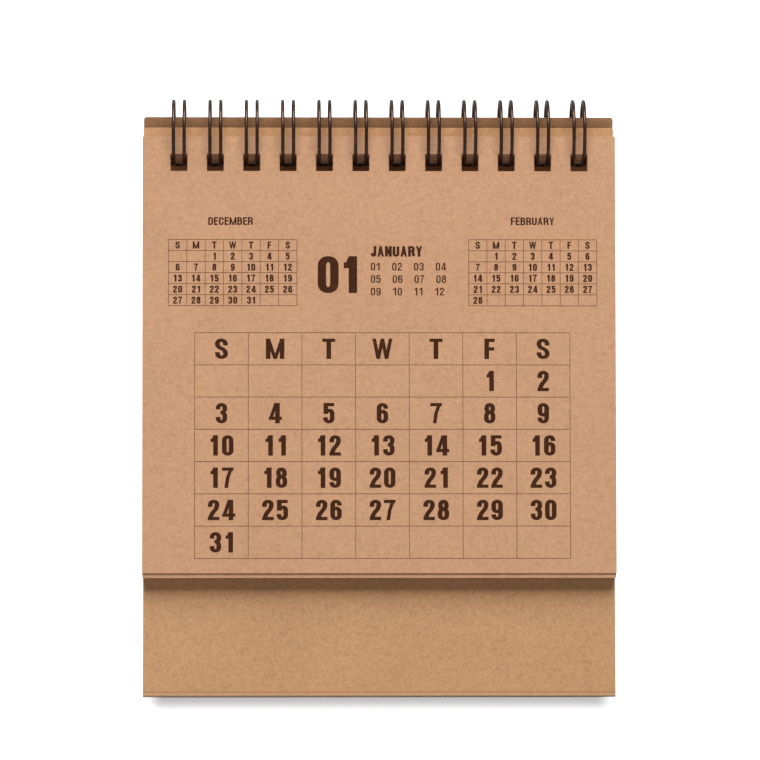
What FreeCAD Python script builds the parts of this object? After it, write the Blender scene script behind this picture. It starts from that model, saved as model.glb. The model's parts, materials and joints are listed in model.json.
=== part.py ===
"""Desk calendar: a folded board stand, a twin-loop wire, and punched sheets that turn over it.

Millimetres. X runs along the wire, -Y is the side that is read, +Z is up.
The origin is the middle of the base, on the table.
"""
import FreeCAD
import Part
import Sketcher
import math
import os

V = FreeCAD.Vector
X_AXIS = V(1, 0, 0)

SIZES = {
    # The stand is one strip of board, folded twice: front board, base, back board.
    "board_width": 109.6,
    "board_thickness": 1.0,
    "front_board": 132.9,
    "base_depth": 62.6,
    "front_lean": 15.0,
    "fold_radius": 0.5,
    "corner_radius": 0.6,
    # Where the ring axis lies: behind the front board's face, below its edge, before the back board.
    "axis_behind_front": 1.2,
    "front_above_axis": 1.15,
    "back_behind_axis": 1.8,
    "back_above_axis": 3.04,
    # Punching, the same pitch in board and paper.
    "hole_size": 4.0,
    "hole_pitch": 8.4667,
    "hole_count": 12,
    "front_hole_drop": 1.75,
    # The twin-loop wire.
    "ring_radius": 7.42,
    "wire_diameter": 0.85,
    "loop_spacing": 2.5,
    "bend_radius": 1.0,
    "end_length": 1.4,
    "base_angle": 14.0,
    "tip_angle": 12.0,
    # How many straight steps stand for each round stretch of the wire.
    "ring_steps": 20,
    "tip_steps": 5,
    "bend_steps": 3,
    # The sheets.
    "sheet_width": 110.0,
    "sheet_height": 101.95,
    "sheet_thickness": 0.25,
    "sheet_margin": 4.13,
    "sheets_behind": 11,
    # Clearances: wire to hole edge, board to block, block to front sheet, and a cut's overrun.
    "wire_clearance": 0.15,
    "board_clearance": 0.05,
    "sheet_clearance": 0.12,
    "cut_overrun": 0.3,
}

doc = FreeCAD.newDocument("desk_calendar")
sheet = doc.addObject("Spreadsheet::Sheet", "Sizes")
for row, (alias, value) in enumerate(SIZES.items(), start=1):
    sheet.set(f"A{row}", alias)
    sheet.set(f"B{row}", str(value))
    sheet.setAlias(f"B{row}", alias)
doc.recompute()


def size(alias):
    """The expression that reads one driving size."""
    return f"Sizes.{alias}"


def value(alias):
    """The number that the sheet holds for one driving size."""
    return float(sheet.get(alias))


# Sizes that follow from the driving ones, as expressions.
LEAN = "Sizes.front_lean"
RISE = "(Sizes.front_board - Sizes.front_above_axis)"
AXIS_Y = f"(-Sizes.base_depth / 2 + {RISE} * sin({LEAN}) + Sizes.axis_behind_front * cos({LEAN}))"
AXIS_Z = f"({RISE} * cos({LEAN}) - Sizes.axis_behind_front * sin({LEAN}))"
BACK_RUN = f"(Sizes.base_depth / 2 - {AXIS_Y})"
BACK_OFFSET = "(Sizes.back_behind_axis + Sizes.board_thickness)"
BACK_REACH = f"hypot({BACK_RUN}; {AXIS_Z})"
BACK_LEAN = f"(acos({BACK_OFFSET} / {BACK_REACH}) - atan2({AXIS_Z}; {BACK_RUN}))"
BACK_BOARD = f"(Sizes.back_above_axis + sqrt({BACK_REACH}^2 - {BACK_OFFSET}^2))"
WIRE_INSIDE = "(Sizes.ring_radius - Sizes.wire_diameter / 2)"
WIRE_OUTSIDE = "(Sizes.ring_radius + Sizes.wire_diameter / 2)"
HANG_RADIUS = f"({WIRE_INSIDE} - Sizes.wire_clearance)"
BLOCK_BACK = "(Sizes.axis_behind_front + Sizes.board_clearance)"
BLOCK_FRONT = f"({BLOCK_BACK} + Sizes.sheets_behind * Sizes.sheet_thickness)"
SHEET_BACK = f"({BLOCK_FRONT} + Sizes.sheet_clearance)"
SHEET_HANG = f"(-sqrt({HANG_RADIUS}^2 - ({SHEET_BACK} + Sizes.sheet_thickness)^2))"
FIRST_HOLE_X = "(-(Sizes.hole_count - 1) * Sizes.hole_pitch / 2)"
BOARD_CUT = "(Sizes.board_thickness + 2 * Sizes.cut_overrun)"
# The back board's holes rest on the wire's underside; the front board's reach below it.
FRONT_INNER = "(Sizes.axis_behind_front - Sizes.board_thickness)"
FRONT_HOLE_FOOT = f"(-sqrt({WIRE_OUTSIDE}^2 - {FRONT_INNER}^2) - Sizes.front_hole_drop)"
BACK_HOLE_FOOT = f"(-sqrt({WIRE_OUTSIDE}^2 - Sizes.back_behind_axis^2) - Sizes.wire_clearance)"


def new_body(label):
    """An empty body with its own label."""
    body = doc.addObject("PartDesign::Body", label)
    body.Label = label
    return body


def origin_feature(body, role):
    """A plane or an axis of the body's own origin."""
    return next(item for item in body.Origin.OriginFeatures if item.Role == role)


def new_sketch(body, name, plane_role):
    """A sketch on one of the body's origin planes."""
    sketch = body.newObject("Sketcher::SketchObject", name)
    sketch.AttachmentSupport = [(origin_feature(body, plane_role), "")]
    sketch.MapMode = "FlatFace"
    return sketch


def constrain(sketch, expression, *constraint):
    """A named dimension whose value is the expression."""
    index = sketch.addConstraint(Sketcher.Constraint(*constraint))
    name = f"{sketch.Name}_{index}"
    sketch.renameConstraint(index, name)
    sketch.setExpression(f"Constraints.{name}", expression)


def closed_outline(sketch, points):
    """Straight edges from point to point, joined into a ring; returns the edge numbers."""
    ends = points[1:] + points[:1]
    edges = [sketch.addGeometry(Part.LineSegment(V(*a, 0), V(*b, 0))) for a, b in zip(points, ends)]
    for edge, following in zip(edges, edges[1:] + edges[:1]):
        sketch.addConstraint(Sketcher.Constraint("Coincident", edge, 2, following, 1))
    return edges


def rectangle(sketch, width, height, foot):
    """A rectangle about the sketch's upright axis, set by its size and the height of its lower edge."""
    lower, right, upper, left = closed_outline(sketch, [(-1, 0), (1, 0), (1, 1), (-1, 1)])
    for edge in (lower, upper):
        sketch.addConstraint(Sketcher.Constraint("Horizontal", edge))
    for edge in (right, left):
        sketch.addConstraint(Sketcher.Constraint("Vertical", edge))
    constrain(sketch, width, "DistanceX", lower, 1, lower, 2, 2)
    constrain(sketch, height, "DistanceY", right, 1, right, 2, 1)
    constrain(sketch, f"-{width} / 2", "DistanceX", -1, 1, lower, 1, -1)
    constrain(sketch, foot, "DistanceY", -1, 1, lower, 1, 0)


def hanging_band(sketch, top, height):
    """The section of the block between two arcs of the wire's inside; top and height are sizes."""
    radius = value("ring_radius")
    back = -value("axis_behind_front")
    front = back - value("sheets_behind") * value("sheet_thickness")
    top_height = value(top) if top else 0
    top_expression = size(top) if top else "0"
    centres = {top_expression: top_height, f"{top_expression} - {size(height)}": top_height - value(height)}
    arcs = []
    for centre in centres.values():
        circle = Part.Circle(V(0, centre, 0), V(0, 0, 1), radius)
        angles = [2 * math.pi - math.acos(x / radius) for x in (front, back)]
        arcs.append(sketch.addGeometry(Part.ArcOfCircle(circle, *angles)))
    upper, lower = arcs
    ends = (top_height - value(height) - radius, top_height - radius)
    sides = [sketch.addGeometry(Part.LineSegment(V(x, ends[0], 0), V(x, ends[1], 0))) for x in (front, back)]
    for side, arc_end in zip(sides, (1, 2)):
        sketch.addConstraint(Sketcher.Constraint("Vertical", side))
        sketch.addConstraint(Sketcher.Constraint("Coincident", side, 1, lower, arc_end))
        sketch.addConstraint(Sketcher.Constraint("Coincident", side, 2, upper, arc_end))
    constrain(sketch, f"-{BLOCK_FRONT}", "DistanceX", -1, 1, sides[0], 1, front)
    constrain(sketch, f"-{BLOCK_BACK}", "DistanceX", -1, 1, sides[1], 1, back)
    for arc, (expression, centre) in zip(arcs, centres.items()):
        sketch.addConstraint(Sketcher.Constraint("PointOnObject", arc, 3, -2))
        constrain(sketch, HANG_RADIUS, "Radius", arc, radius)
        constrain(sketch, expression, "DistanceY", -1, 1, arc, 3, centre)


def pad(body, sketch, name, length, midplane=False):
    """Paper or board, as thick as the length."""
    feature = body.newObject("PartDesign::Pad", name)
    feature.Profile = sketch
    feature.setExpression("Length", length)
    feature.Midplane = midplane
    return feature


def punched_row(body, sketch, name, depth):
    """One punched hole, cut to both sides of its sketch, and the row of them along X."""
    hole = body.newObject("PartDesign::Pocket", name)
    hole.Profile = sketch
    hole.Midplane = True
    hole.setExpression("Length", depth)
    doc.recompute()
    row = body.newObject("PartDesign::LinearPattern", f"{name}_row")
    row.Originals = [hole]
    row.Direction = (origin_feature(body, "X_Axis"), [""])
    row.setExpression("Length", "(Sizes.hole_count - 1) * Sizes.hole_pitch")
    row.setExpression("Occurrences", "Sizes.hole_count")
    body.Tip = row
    doc.recompute()
    return row


def round_edges(body, base, name, radius, wanted):
    """Fillets on the edges of the base that the test picks by their middle point."""
    doc.recompute()
    edges = base.Shape.Edges
    names = [f"Edge{n}" for n, edge in enumerate(edges, start=1) if wanted(edge.CenterOfMass)]
    fillet = body.newObject("PartDesign::Fillet", name)
    fillet.Base = (base, names)
    fillet.setExpression("Radius", radius)
    doc.recompute()
    return fillet


def place_at_axis(item, lean):
    """Moves a body that is drawn around the ring axis to its place, turned by the board's lean."""
    item.setExpression(".Placement.Base.y", AXIS_Y)
    item.setExpression(".Placement.Base.z", AXIS_Z)
    if lean:
        item.Placement.Rotation = FreeCAD.Rotation(X_AXIS, -1)
        item.setExpression(".Placement.Rotation.Angle", f"-{lean}")


def strip_section(sketch):
    """The folded strip seen from its end, with sharp folds: boards of one thickness, open on top."""
    half = value("base_depth") / 2
    board = value("board_thickness")
    rise = value("front_board")
    points = [(-half, 0), (half, 0), (board * 3, rise), (board * 2, rise),
              (half - board, board), (board - half, board), (-board, rise), (-board * 2, rise)]
    base, back, back_edge, back_in, base_in, front_in, front_edge, front = closed_outline(sketch, points)
    sketch.addConstraint(Sketcher.Constraint("Horizontal", base))
    sketch.addConstraint(Sketcher.Constraint("Parallel", base, base_in))
    sketch.addConstraint(Sketcher.Constraint("Parallel", back, back_in))
    sketch.addConstraint(Sketcher.Constraint("Parallel", front, front_in))
    sketch.addConstraint(Sketcher.Constraint("Perpendicular", back, back_edge))
    sketch.addConstraint(Sketcher.Constraint("Perpendicular", front, front_edge))
    sketch.addConstraint(Sketcher.Constraint("PointOnObject", base, 1, -1))
    constrain(sketch, "-Sizes.base_depth / 2", "DistanceX", -1, 1, base, 1, -half)
    constrain(sketch, size("base_depth"), "DistanceX", base, 1, base, 2, 2 * half)
    constrain(sketch, size("board_thickness"), "DistanceY", -1, 1, base_in, 1, board)
    constrain(sketch, size("board_thickness"), "Distance", back_edge, board)
    constrain(sketch, size("board_thickness"), "Distance", front_edge, board)
    constrain(sketch, BACK_BOARD, "Distance", back, rise)
    constrain(sketch, size("front_board"), "Distance", front, rise)
    upright = 1.5
    constrain(sketch, f"90 deg + {BACK_LEAN}", "Angle", back, upright)
    constrain(sketch, f"-90 deg - {LEAN} * 1 deg", "Angle", front, -upright)


def board_holes(body, name, lean_angle, side, offset, foot):
    """A row of square holes through one leaning board; side is 1 in front of the axis, -1 behind."""
    sketch = new_sketch(body, f"{name}_sketch", "XZ_Plane")
    sketch.AttachmentOffset = FreeCAD.Placement(V(0, 0, 0), FreeCAD.Rotation(X_AXIS, -side))
    sketch.setExpression(".AttachmentOffset.Rotation.Angle", f"{-side} * {lean_angle}")
    sketch.setExpression(".AttachmentOffset.Base.x", FIRST_HOLE_X)
    sketch.setExpression(".AttachmentOffset.Base.y", f"{AXIS_Z} + {offset} * sin({lean_angle})")
    sketch.setExpression(".AttachmentOffset.Base.z", f"-{AXIS_Y} + {side} * {offset} * cos({lean_angle})")
    rectangle(sketch, size("hole_size"), size("hole_size"), foot)
    return punched_row(body, sketch, name, BOARD_CUT)


def make_stand():
    """The folded board: padded section, rounded folds and corners, and a row of holes in each board."""
    body = new_body("stand")
    section = new_sketch(body, "strip_section", "YZ_Plane")
    strip_section(section)
    strip = pad(body, section, "folded_strip", size("board_width"), midplane=True)
    half_width = value("board_width") / 2
    board = value("board_thickness")
    low = value("front_board") / 2
    inner = round_edges(body, strip, "inner_folds", size("fold_radius"),
                        lambda c: abs(c.x) < 1 and board / 2 < c.z < low and abs(c.y) > low / 4)
    outer = round_edges(body, inner, "outer_folds", "Sizes.fold_radius + Sizes.board_thickness",
                        lambda c: abs(c.x) < 1 and abs(c.z) < board / 4 and abs(c.y) > low / 4)
    round_edges(body, outer, "top_corners", size("corner_radius"),
                lambda c: abs(abs(c.x) - half_width) < board / 4 and c.z > 1.5 * low and is_top(c, outer))
    board_holes(body, "front_holes", LEAN, 1, "(Sizes.axis_behind_front - Sizes.board_thickness / 2)",
                FRONT_HOLE_FOOT)
    board_holes(body, "back_holes", BACK_LEAN, -1, "(Sizes.back_behind_axis + Sizes.board_thickness / 2)",
                BACK_HOLE_FOOT)
    return body


def is_top(point, feature):
    """True for the short edges across the two boards' upper ends."""
    return point.z > feature.Shape.BoundBox.ZMax - value("front_above_axis") - 3 * value("board_thickness")


def make_front_sheet():
    """The month in view: one punched sheet, hanging by its holes on the wire."""
    body = new_body("front_sheet")
    outline = new_sketch(body, "sheet_outline", "XZ_Plane")
    outline.setExpression(".AttachmentOffset.Base.z", SHEET_BACK)
    top = f"({SHEET_HANG} + Sizes.sheet_margin)"
    rectangle(outline, size("sheet_width"), size("sheet_height"), f"{top} - Sizes.sheet_height")
    pad(body, outline, "sheet", size("sheet_thickness"))
    hole = new_sketch(body, "sheet_hole", "XZ_Plane")
    hole.setExpression(".AttachmentOffset.Base.x", FIRST_HOLE_X)
    hole.setExpression(".AttachmentOffset.Base.z", f"{SHEET_BACK} + Sizes.sheet_thickness / 2")
    rectangle(hole, size("hole_size"), size("hole_size"), f"{SHEET_HANG} - Sizes.hole_size")
    punched_row(body, hole, "sheet_holes", "Sizes.sheet_thickness + 2 * Sizes.cut_overrun")
    place_at_axis(body, LEAN)
    return body


def make_page_block():
    """The sheets behind as one block; each hangs a little lower than the one before, round the wire."""
    body = new_body("page_block")
    section = new_sketch(body, "block_section", "YZ_Plane")
    hanging_band(section, "sheet_margin", "sheet_height")
    pad(body, section, "sheets", size("sheet_width"), midplane=True)
    hole = new_sketch(body, "block_hole", "YZ_Plane")
    hole.setExpression(".AttachmentOffset.Base.z", FIRST_HOLE_X)
    hanging_band(hole, None, "hole_size")
    punched_row(body, hole, "block_holes", size("hole_size"))
    place_at_axis(body, LEAN)
    return body


def wire_path():
    """The middle line of the comb of double loops, from the cut end at the left to the one at the right."""
    radius = value("ring_radius")
    half_gap = value("loop_spacing") / 2
    bend = value("bend_radius")
    base = value("base_angle")
    tip = 360 - value("tip_angle")
    count = int(value("hole_count"))
    end = V(value("end_length"), 0, 0)

    def on_ring(x, along, angle):
        """A point on the ring, or that far along its tangent; the angle runs from the bottom to the back."""
        return FreeCAD.Rotation(X_AXIS, angle).multVec(V(x, along, -radius))

    def turn(centre, size_of_turn, first, last, steps, angle, tangent=0):
        """A bend in the ring's tangent plane, from one direction to another, in degrees from +X."""
        sweep = [math.radians(first + (last - first) * step / steps) for step in range(steps + 1)]
        return [on_ring(centre + size_of_turn * math.cos(a), tangent + size_of_turn * math.sin(a), angle)
                for a in sweep]

    def ring(x, first, last):
        """The straight steps of one wire round the ring, without its two ends."""
        steps = int(value("ring_steps"))
        return [on_ring(x, 0, first + (last - first) * step / steps) for step in range(1, steps)]

    bend_steps = int(value("bend_steps"))
    tip_steps = int(value("tip_steps"))
    points = []
    for loop in range(count):
        middle = (loop - (count - 1) / 2) * value("hole_pitch")
        left, right = middle - half_gap, middle + half_gap
        points += turn(left - bend, bend, -90, 0, bend_steps, base)
        points += ring(left, base, tip)
        points += turn(middle, half_gap, 180, 0, tip_steps, tip)
        points += ring(right, tip, base)
        points += turn(right + bend, bend, 180, 270, bend_steps, base)
    return Part.makePolygon([points[0] - end] + points + [points[-1] + end])


def make_binding_wire():
    """One continuous wire: its section swept along the whole comb, mitred at each small step."""
    path = doc.addObject("Part::Feature", "wire_path")
    path.Shape = wire_path()
    section = doc.addObject("Part::RegularPolygon", "wire_section")
    section.Polygon = 8
    section.setExpression("Circumradius", "Sizes.wire_diameter / 2")
    start = path.Shape.OrderedVertexes[0].Point
    section.Placement = FreeCAD.Placement(start, FreeCAD.Rotation(V(0, 0, 1), X_AXIS))
    doc.recompute()
    wire = doc.addObject("Part::Sweep", "binding_wire")
    wire.Label = "binding_wire"
    wire.Sections = [section]
    wire.Spine = (path, [f"Edge{n}" for n in range(1, len(path.Shape.Edges) + 1)])
    wire.Solid = True
    wire.Transition = "Right corner"
    place_at_axis(wire, None)
    return wire


parts = [make_stand(), make_binding_wire(), make_front_sheet(), make_page_block()]
doc.recompute()

for item in doc.Objects:
    if "Invalid" in item.State or "Error" in item.State:
        raise RuntimeError(f"{item.Name} did not build: {item.State}")
for part in parts:
    if part.Shape.isNull() or not part.Shape.isValid():
        raise RuntimeError(f"{part.Label} has no valid shape")

os.makedirs("parts", exist_ok=True)
for part in parts:
    part.Shape.exportStep(os.path.join("parts", f"{part.Label}.step"))
    box = part.Shape.BoundBox
    print(part.Label, "volume", round(part.Shape.Volume, 1), "solids", len(part.Shape.Solids),
          "x", round(box.XMin, 2), round(box.XMax, 2), "y", round(box.YMin, 2), round(box.YMax, 2),
          "z", round(box.ZMin, 2), round(box.ZMax, 2))
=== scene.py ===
# %% [markdown]
# # A desk calendar of kraft board, kraft paper and twin-loop wire
# The calendar is a strip of board folded into a tent, a comb of double wire loops, and twelve punched
# sheets that hang on the loops. The solids with their real sizes come in as a frame, and they are never
# moved. This lesson builds what is looked at from close by: board with crisp folds and dark cut edges,
# single sheets that step round the wire, the wire as one smooth line, and the printed months.

# %% Load the frame
import bmesh
import bpy
import json
import math
from mathutils import Matrix, Vector


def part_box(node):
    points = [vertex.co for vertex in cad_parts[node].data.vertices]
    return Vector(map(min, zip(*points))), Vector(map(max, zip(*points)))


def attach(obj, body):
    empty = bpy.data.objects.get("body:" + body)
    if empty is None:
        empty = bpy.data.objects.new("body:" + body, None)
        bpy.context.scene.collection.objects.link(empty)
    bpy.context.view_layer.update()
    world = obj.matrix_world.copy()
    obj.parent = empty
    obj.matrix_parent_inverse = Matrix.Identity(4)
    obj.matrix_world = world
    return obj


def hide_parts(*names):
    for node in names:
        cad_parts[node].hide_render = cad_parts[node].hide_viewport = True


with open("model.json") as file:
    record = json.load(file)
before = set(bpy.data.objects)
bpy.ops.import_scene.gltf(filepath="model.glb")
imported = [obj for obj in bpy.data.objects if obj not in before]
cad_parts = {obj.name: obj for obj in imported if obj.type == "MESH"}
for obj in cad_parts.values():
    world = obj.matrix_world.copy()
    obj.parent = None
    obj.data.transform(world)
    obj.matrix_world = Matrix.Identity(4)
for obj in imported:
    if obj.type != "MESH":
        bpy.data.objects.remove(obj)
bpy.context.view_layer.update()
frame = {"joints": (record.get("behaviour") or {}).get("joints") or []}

hinge = frame["joints"][0]

# %% [markdown]
# ## Sizes
# All lengths are in metres. The hinge of the front sheet is the middle line of the rings, so the frame
# gives it, as it gives the widths. The rest are the few sizes that a bindery would write on its job card:
# the lean of the front board, the board and paper thickness, the hole pattern and the wire. The boards
# stand 0.3 mm inside the solid's faces, so that crisp folds keep inside its box.

# %% Named sizes
MM = 0.001
AXIS = Vector(hinge["pos_m"])
BOARD_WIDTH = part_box("stand")[1].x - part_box("stand")[0].x
SHEET_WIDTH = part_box("front_sheet")[1].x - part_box("front_sheet")[0].x

BOARD = 1.0 * MM
FOLD_OUTSIDE, FOLD_INSIDE, FOLD_REACH = 0.52 * MM, 0.1 * MM, 1.3 * MM
BOARD_CORNER, CUT_ROUNDING = 0.6 * MM, 0.1 * MM
FRONT_LEAN = math.radians(15)
BASE_DEPTH = 61.98 * MM
FRONT_TOP, FRONT_FACE, FRONT_HOLE_TOP = 1.15 * MM, 0.9 * MM, -5.592 * MM
BACK_TOP, BACK_FACE, BACK_HOLE_TOP = 3.04 * MM, 2.496 * MM, -3.786 * MM

PAPER = 0.25 * MM
SHEET_HEIGHT, SHEET_MARGIN = 101.7 * MM, 4.13 * MM
PILE_MARGIN, PILE_FOOT = 3.4 * MM, -104.06 * MM
SHEETS_BEHIND, PILE_BACK, FRONT_SHEET_BACK = 11, 1.33 * MM, 4.12 * MM
HANG_RADIUS = 6.95 * MM
PAPER_CORNER, PILE_INSET, WANDER = 0.15 * MM, 0.24 * MM, 0.07 * MM
PILE_SHEET = 0.82 * PAPER

HOLE, HOLE_CORNER, PITCH, LOOPS = 4.0 * MM, 0.22 * MM, 8.4667 * MM, 12
WIRE, RING, LOOP_GAP, BEND, WIRE_END = 0.84 * MM, 7.40 * MM, 2.5 * MM, 1.0 * MM, 50.2 * MM
BASE_ANGLE, TIP_ANGLE = math.radians(14), math.radians(348)

run = BASE_DEPTH / 2 - AXIS.y
foot_reach = math.hypot(run, AXIS.z)
BACK_LEAN = math.acos(BACK_FACE / foot_reach) - math.atan2(AXIS.z, run)
print("the back board leans", round(math.degrees(BACK_LEAN), 2), "degrees;",
      "sheets are", SHEET_WIDTH / MM, "mm wide")

# %% [markdown]
# ## From flat to leaning
# Boards, sheets and print are all made flat, as on the printer's table: x runs across, y up the sheet and
# z out of the paper. One function then leans a flat piece about the ring's axis. Because paper, holes and
# print pass through the same function, they can't drift apart.

# %% Lean a flat piece into place
def lean_matrix(out=0.0, up=0.0):
    """From flat to the front side: y runs up the front board and z out to the reader."""
    turn = Matrix.Rotation(math.pi / 2 - FRONT_LEAN, 4, "X")
    return Matrix.Translation(AXIS) @ turn @ Matrix.Translation((0, up, out))


def back_matrix(out=0.0, up=0.0):
    """From flat to the back side, seen from behind: x is turned round too."""
    turn = Matrix.Rotation(math.pi, 4, "Z") @ Matrix.Rotation(math.pi / 2 - BACK_LEAN, 4, "X")
    return Matrix.Translation(AXIS) @ turn @ Matrix.Translation((0, up, out))


def add_object(name, data):
    """An object at the origin that shows a mesh, a light or a camera."""
    added = bpy.data.objects.new(name, data)
    bpy.context.scene.collection.objects.link(added)
    return added


def bake(piece):
    """Turns what the modifiers make into the piece's plain mesh, and removes them."""
    bpy.context.view_layer.update()
    depsgraph = bpy.context.evaluated_depsgraph_get()
    mesh = bpy.data.meshes.new_from_object(piece.evaluated_get(depsgraph), depsgraph=depsgraph)
    piece.modifiers.clear()
    piece.data = mesh
    mesh.name = piece.name
    return piece


# %% [markdown]
# ## Writing node trees as expressions
# A shader or a geometry tree is easier to read as arithmetic than as boxes and cords. A Link wraps one
# socket, and each operator on it adds the Math node that does the same. Nodes adds any other node: its
# type, its settings first, and then what goes into its sockets.

# %% Node helpers
class Link:
    """A socket whose operators add Math nodes."""

    def __init__(self, nodes, socket):
        self.nodes = nodes
        self.socket = socket

    def math(self, operation, *others):
        inputs = dict(enumerate((self, *others)))
        return self.nodes.node("ShaderNodeMath", {"operation": operation}, inputs)

    def __add__(self, other):
        return self.math("ADD", other)

    def __mul__(self, other):
        return self.math("MULTIPLY", other)

    def __sub__(self, other):
        return self.math("SUBTRACT", other)

    def __truediv__(self, other):
        return self.math("DIVIDE", other)

    def __rsub__(self, other):
        return self * -1 + other

    __radd__ = __add__
    __rmul__ = __mul__

    def ramp(self, low, high):
        """0 at low and 1 at high, with soft ends."""
        return self.nodes.node("ShaderNodeMapRange", {"interpolation_type": "SMOOTHSTEP"},
                               {"Value": self, "From Min": low, "From Max": high})

    def other(self, name):
        """Another output of the node that this socket belongs to."""
        return Link(self.nodes, self.socket.node.outputs[name])

    def part(self, axis):
        """One of the three numbers of a vector."""
        return self.nodes.node("ShaderNodeSeparateXYZ", None, {0: self}, axis)


class Nodes:
    """A node tree with one method that adds any node."""

    def __init__(self, tree):
        self.tree = tree

    def node(self, kind, settings=None, inputs=None, output=0):
        """Adds a node and gives one of its outputs back as a Link."""
        added = self.tree.nodes.new(kind)
        for key, setting in (settings or {}).items():
            setattr(added, key, setting)
        for key, given in (inputs or {}).items():
            self.feed(added.inputs[key], given)
        return Link(self, added.outputs[output])

    def feed(self, socket, given):
        """Puts a value, a link or several links on a socket."""
        for one in given if isinstance(given, list) else [given]:
            if isinstance(one, Link):
                self.tree.links.new(one.socket, socket)
            else:
                socket.default_value = one

    def vector(self, x=0.0, y=0.0, z=0.0):
        return self.node("ShaderNodeCombineXYZ", None, {"X": x, "Y": y, "Z": z})


def linear(red, green, blue):
    """A colour as it shows on a screen, 0 to 255, in the linear values that a shader takes."""
    shares = [value / 255 for value in (red, green, blue)]
    return tuple(s / 12.92 if s < 0.04 else ((s + 0.055) / 1.055) ** 2.4 for s in shares) + (1.0,)


# %% [markdown]
# ## Materials in a few words
# Every finish of this calendar is a mix of two or three colours by masks of noise, plus a fine relief.
# Coordinates are the Object's, in metres, so a noise scale of 1000 means bumps about a millimetre apart,
# and nothing slides when the front sheet turns.

# %% Finish helper
class Finish(Nodes):
    """A material's tree with the few nodes that paper, board and wire need."""

    def __init__(self, name):
        self.material = bpy.data.materials.new(name)
        self.material.use_nodes = True
        super().__init__(self.material.node_tree)
        self.shader = self.tree.nodes["Principled BSDF"]

    def place(self, scale=(1, 1, 1), turn=(0, 0, 0)):
        """Object coordinates, turned and then stretched."""
        turned = self.node("ShaderNodeMapping", None, {"Vector": self.here(), "Rotation": turn})
        return self.node("ShaderNodeMapping", None, {"Vector": turned, "Scale": scale})

    def here(self):
        return self.node("ShaderNodeTexCoord", output=3)

    def noise(self, scale, detail=2.0, rough=0.5, at=None, twist=0.0):
        inputs = {"Vector": at or self.here(), "Scale": scale, "Detail": detail}
        return self.node("ShaderNodeTexNoise", None, inputs | {"Roughness": rough, "Distortion": twist})

    def mix(self, share, first, second):
        """One colour turning into another as the share goes from 0 to 1."""
        added = self.tree.nodes.new("ShaderNodeMix")
        added.data_type = "RGBA"
        for socket in added.inputs:
            given = {"Factor_Float": share, "A_Color": first, "B_Color": second}.get(socket.identifier)
            if given is not None:
                self.feed(socket, given)
        return Link(self, added.outputs[2])

    def relief(self, height, depth):
        """A normal for a surface whose height is a mask times a depth in metres."""
        return self.node("ShaderNodeBump", None, {"Height": height, "Distance": depth})

    def done(self, **sockets):
        """Feeds the shader's sockets, whose names have spaces here written as underscores."""
        for name, given in sockets.items():
            self.feed(self.shader.inputs[name.replace("_", " ")], given)
        return self.material


# %% [markdown]
# ## Kraft paper and kraft board
# Kraft is unbleached wood pulp. It is cloudy where the pulp settled unevenly, felted with short fibres,
# streaked by long ones, and flecked by bits of bark. Each of these is a noise of its own size: the long
# fibres are three narrow noises turned against each other, and the flecks are the peaks of a fine one.
# Board is the same pulp in a thicker, coarser and yellower sheet, so one function makes both. Its folds
# are scored, and the score groove's shade is painted as a dark band above each fold, while painted light
# makes the shaded, rounded foot of each fold paler.

# %% Kraft finish
def kraft(name, pale, dark, fleck, grain, depth, fold_shading=0.0):
    """Unbleached pulp with clouds, a felted grain, fibres three ways, flecks and painted fold shade and
    light.
    """
    pulp = Finish(name)
    cloud = pulp.noise(60, 3, 0.6).ramp(0.3, 0.7)
    mottle = pulp.noise(grain * 0.45, 3, 0.6).ramp(0.25, 0.75)
    felt = pulp.noise(grain * 1.4, 2, 0.6).ramp(0.3, 0.7)
    fibres = 0.0
    for turn in (0.2, 1.3, 2.3):
        lying = pulp.place((0.16, 1, 1), (0, turn, 0))
        fibres = pulp.noise(grain, 2, 0.6, lying, 0.3).ramp(0.50, 0.70) + fibres
    flecks = pulp.noise(1900, 1, 0.4, pulp.place((0.5, 1, 1), (0, 0.7, 0))).ramp(0.76, 0.82)
    shade = cloud * 0.12 + mottle * 0.30 + felt * 0.36 + fibres * 0.20
    colour = pulp.mix(flecks * 0.5, pulp.mix(shade, pale, dark), fleck)
    height = pulp.here().part(2)
    # painted shade darkens the band of the score groove above each fold, and painted light makes the fold's
    # shaded, rounded foot paler
    score_groove_shade = height.ramp(0.9 * MM, 1.15 * MM) * (1 - height.ramp(1.25 * MM, 1.6 * MM))
    fold_light_and_cut_bevel = 1 - height.ramp(0.5 * MM, 0.9 * MM)
    colour = pulp.mix(score_groove_shade * fold_shading, colour, dark)
    colour = pulp.mix(fold_light_and_cut_bevel * fold_shading * 0.7, colour, linear(228, 190, 152))
    relief = fibres * 0.3 + mottle * 0.4 + felt * 0.3 + pulp.noise(3800, 2) * 0.4
    return pulp.done(Base_Color=colour, Roughness=fibres * 0.05 + 0.82,
                     Normal=pulp.relief(relief, depth), Specular_IOR_Level=0.3)


paper = kraft("kraft_paper", linear(221, 170, 131), linear(190, 143, 109), linear(136, 92, 64),
              grain=2000, depth=0.010 * MM)
# the board takes the painted shade and painted light at its folds
board = kraft("kraft_board", linear(219, 169, 123), linear(182, 136, 95), linear(130, 92, 62),
              grain=2300, depth=0.012 * MM, fold_shading=0.8)
print("kraft paper and kraft board take", len(paper.node_tree.nodes), "nodes each")

# %% [markdown]
# ## Cut edges
# A guillotine leaves a slightly furry edge. A sheet's is paler than its face, partly from its fur and
# partly as a painted highlight where its edges catch the lamp. A board's shows the thin layers that it
# was couched from, with dark gaps between them, so it is darker than its face. Edges are faces of their
# own, so they take a material of their own, with streaks that run along the edge.

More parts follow.
